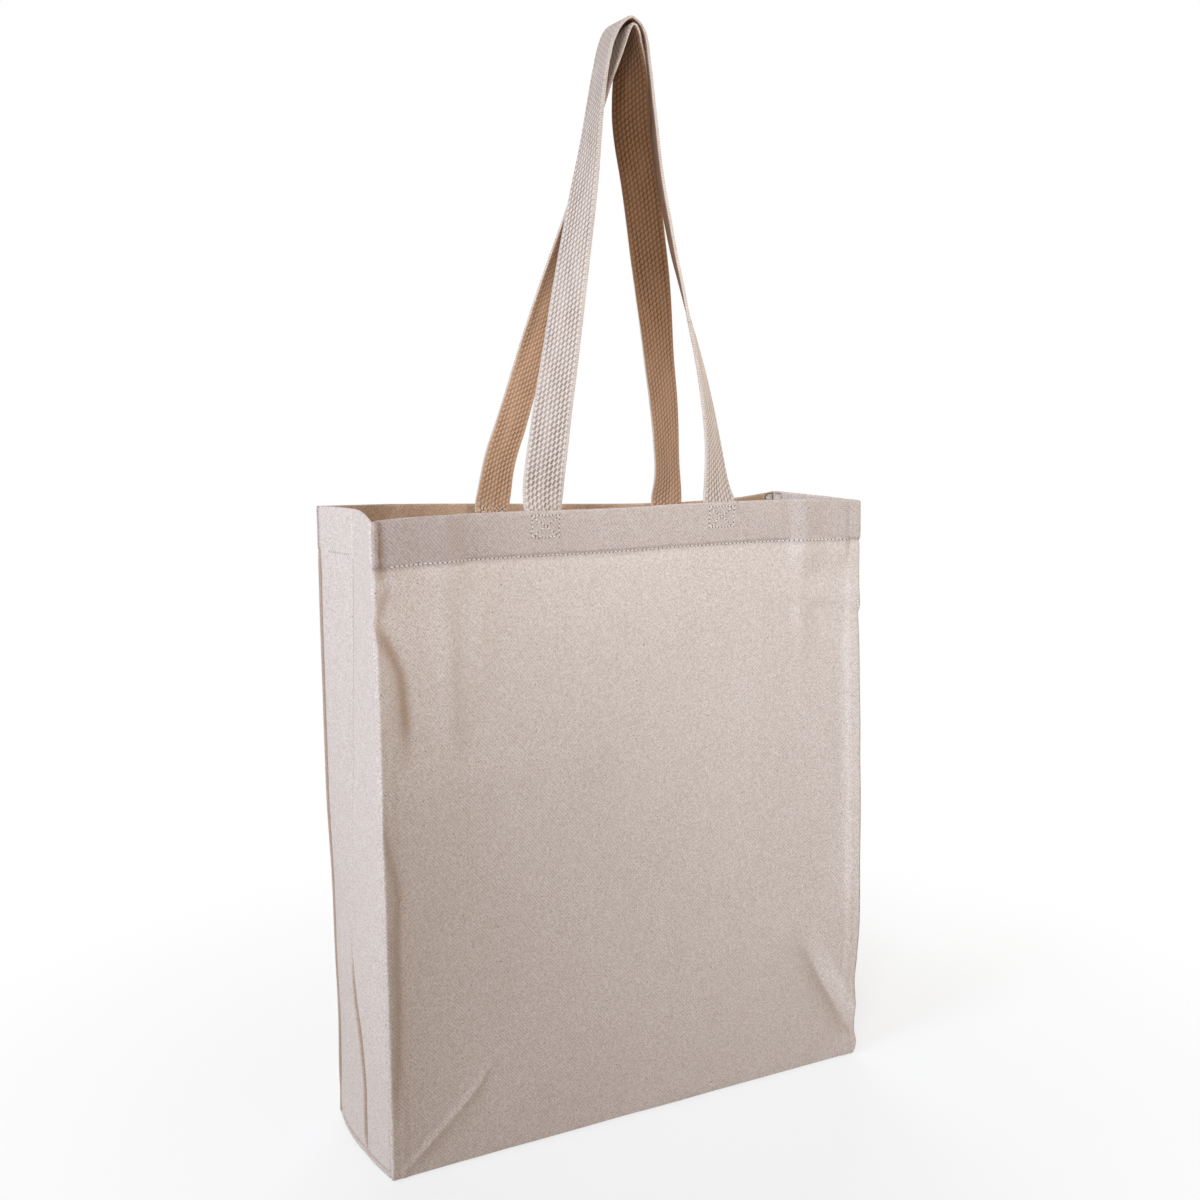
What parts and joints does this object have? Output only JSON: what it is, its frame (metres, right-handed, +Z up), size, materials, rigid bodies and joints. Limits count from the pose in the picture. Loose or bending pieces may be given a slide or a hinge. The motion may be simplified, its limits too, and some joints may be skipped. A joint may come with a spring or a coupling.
{
  "type": "tote bag",
  "caption": "Open-topped canvas tote bag with side gussets and a base that fold flat, a stitched hem and webbing handles sewn inside the rim.",
  "frame": {"origin": "on the floor, under the middle of the base", "axes": "+X along the width to the right, +Y from the front panel to the back panel, +Z up"},
  "size_m": [0.3562, 0.1024, 0.7224],
  "materials": {
    "canvas": "natural unbleached cotton canvas",
    "webbing": "natural cotton webbing",
    "thread": "off-white sewing thread"
  },
  "bodies": {
    "back_panel": {"back_base_overlock": "thread", "back_base_seam": "canvas", "back_handle_left_end": "webbing", "back_handle_right_end": "webbing", "back_hem_stitching": "thread", "back_left_overlock": "thread", "back_left_seam": "canvas", "back_left_tack": "thread", "back_panel": "canvas", "back_right_overlock": "thread", "back_right_seam": "canvas", "back_right_tack": "thread", "left_base_tuck": "canvas", "right_base_tuck": "canvas"},
    "left_gusset_rear": {"left_gusset_rear": "canvas", "left_gusset_rear_stitching": "thread"},
    "left_gusset_front": {"left_gusset_front": "canvas", "left_gusset_front_stitching": "thread"},
    "front_panel": {"front_base_overlock": "thread", "front_base_seam": "canvas", "front_handle_left_end": "webbing", "front_handle_right_end": "webbing", "front_hem_stitching": "thread", "front_left_overlock": "thread", "front_left_seam": "canvas", "front_left_tack": "thread", "front_panel": "canvas", "front_right_overlock": "thread", "front_right_seam": "canvas", "front_right_tack": "thread"},
    "right_gusset_rear": {"right_gusset_rear": "canvas", "right_gusset_rear_stitching": "thread"},
    "right_gusset_front": {"right_gusset_front": "canvas", "right_gusset_front_stitching": "thread"},
    "base_rear": {"base_rear": "canvas"},
    "base_front": {"base_front": "canvas"},
    "front_handle_root": {"front_handle_roots": "webbing"},
    "front_handle": {"front_handle_loop": "webbing"},
    "back_handle_root": {"back_handle_roots": "webbing"},
    "back_handle": {"back_handle_loop": "webbing"}
  },
  "joints": [
    {"name": "gusset_fold", "type": "hinge", "parent": "back_panel", "child": "left_gusset_rear", "pos_m": [-0.1769, 0.0474, 0.2032], "axis": [0, 0, 1], "range_deg": [0, 80], "deforming": ["left_base_tuck", "right_base_tuck"]},
    {"name": "left_gusset_crease", "type": "hinge", "parent": "left_gusset_rear", "child": "left_gusset_front", "pos_m": [-0.1778, 0, 0.2032], "axis": [0, 0, 1], "range_deg": [-160, 0]},
    {"name": "front_panel_fold", "type": "hinge", "parent": "left_gusset_front", "child": "front_panel", "pos_m": [-0.1769, -0.0474, 0.2032], "axis": [0, 0, 1], "range_deg": [0, 80]},
    {"name": "right_gusset_fold", "type": "hinge", "parent": "back_panel", "child": "right_gusset_rear", "pos_m": [0.1769, 0.0474, 0.2032], "axis": [0, 0, -1], "range_deg": [0, 80]},
    {"name": "right_gusset_crease", "type": "hinge", "parent": "right_gusset_rear", "child": "right_gusset_front", "pos_m": [0.1778, 0, 0.2032], "axis": [0, 0, -1], "range_deg": [-160, 0]},
    {"name": "base_fold", "type": "hinge", "parent": "back_panel", "child": "base_rear", "pos_m": [0, 0.0474, 0.0009], "axis": [-1, 0, 0], "range_deg": [0, 80]},
    {"name": "base_crease", "type": "hinge", "parent": "base_rear", "child": "base_front", "pos_m": [0, 0, 0], "axis": [-1, 0, 0], "range_deg": [-160, 0]},
    {"name": "front_handle_flop", "type": "hinge", "parent": "front_panel", "child": "front_handle_root", "pos_m": [0, -0.05, 0.4069], "axis": [1, 0, 0], "range_deg": [0, 170]},
    {"name": "back_handle_flop", "type": "hinge", "parent": "back_panel", "child": "back_handle_root", "pos_m": [0, 0.05, 0.4069], "axis": [-1, 0, 0], "range_deg": [0, 170]},
    {"name": "front_handle_lean", "type": "hinge", "parent": "front_handle_root", "child": "front_handle", "pos_m": [0, -0.047, 0.42255], "axis": [1, 0, 0], "range_deg": [0, 10.85]},
    {"name": "back_handle_lean", "type": "hinge", "parent": "back_handle_root", "child": "back_handle", "pos_m": [0, 0.047, 0.42255], "axis": [-1, 0, 0], "range_deg": [0, 10.85]}
  ],
  "couplings": [
    {"joint": "left_gusset_crease", "follows": "gusset_fold", "ratio": -2},
    {"joint": "front_panel_fold", "follows": "gusset_fold", "ratio": 1},
    {"joint": "right_gusset_fold", "follows": "gusset_fold", "ratio": 1},
    {"joint": "right_gusset_crease", "follows": "gusset_fold", "ratio": -2},
    {"joint": "base_fold", "follows": "gusset_fold", "ratio": 1},
    {"joint": "base_crease", "follows": "gusset_fold", "ratio": -2},
    {"joint": "front_handle_lean", "follows": "gusset_fold", "ratio": 0.1355},
    {"joint": "back_handle_lean", "follows": "gusset_fold", "ratio": 0.1355}
  ]
}
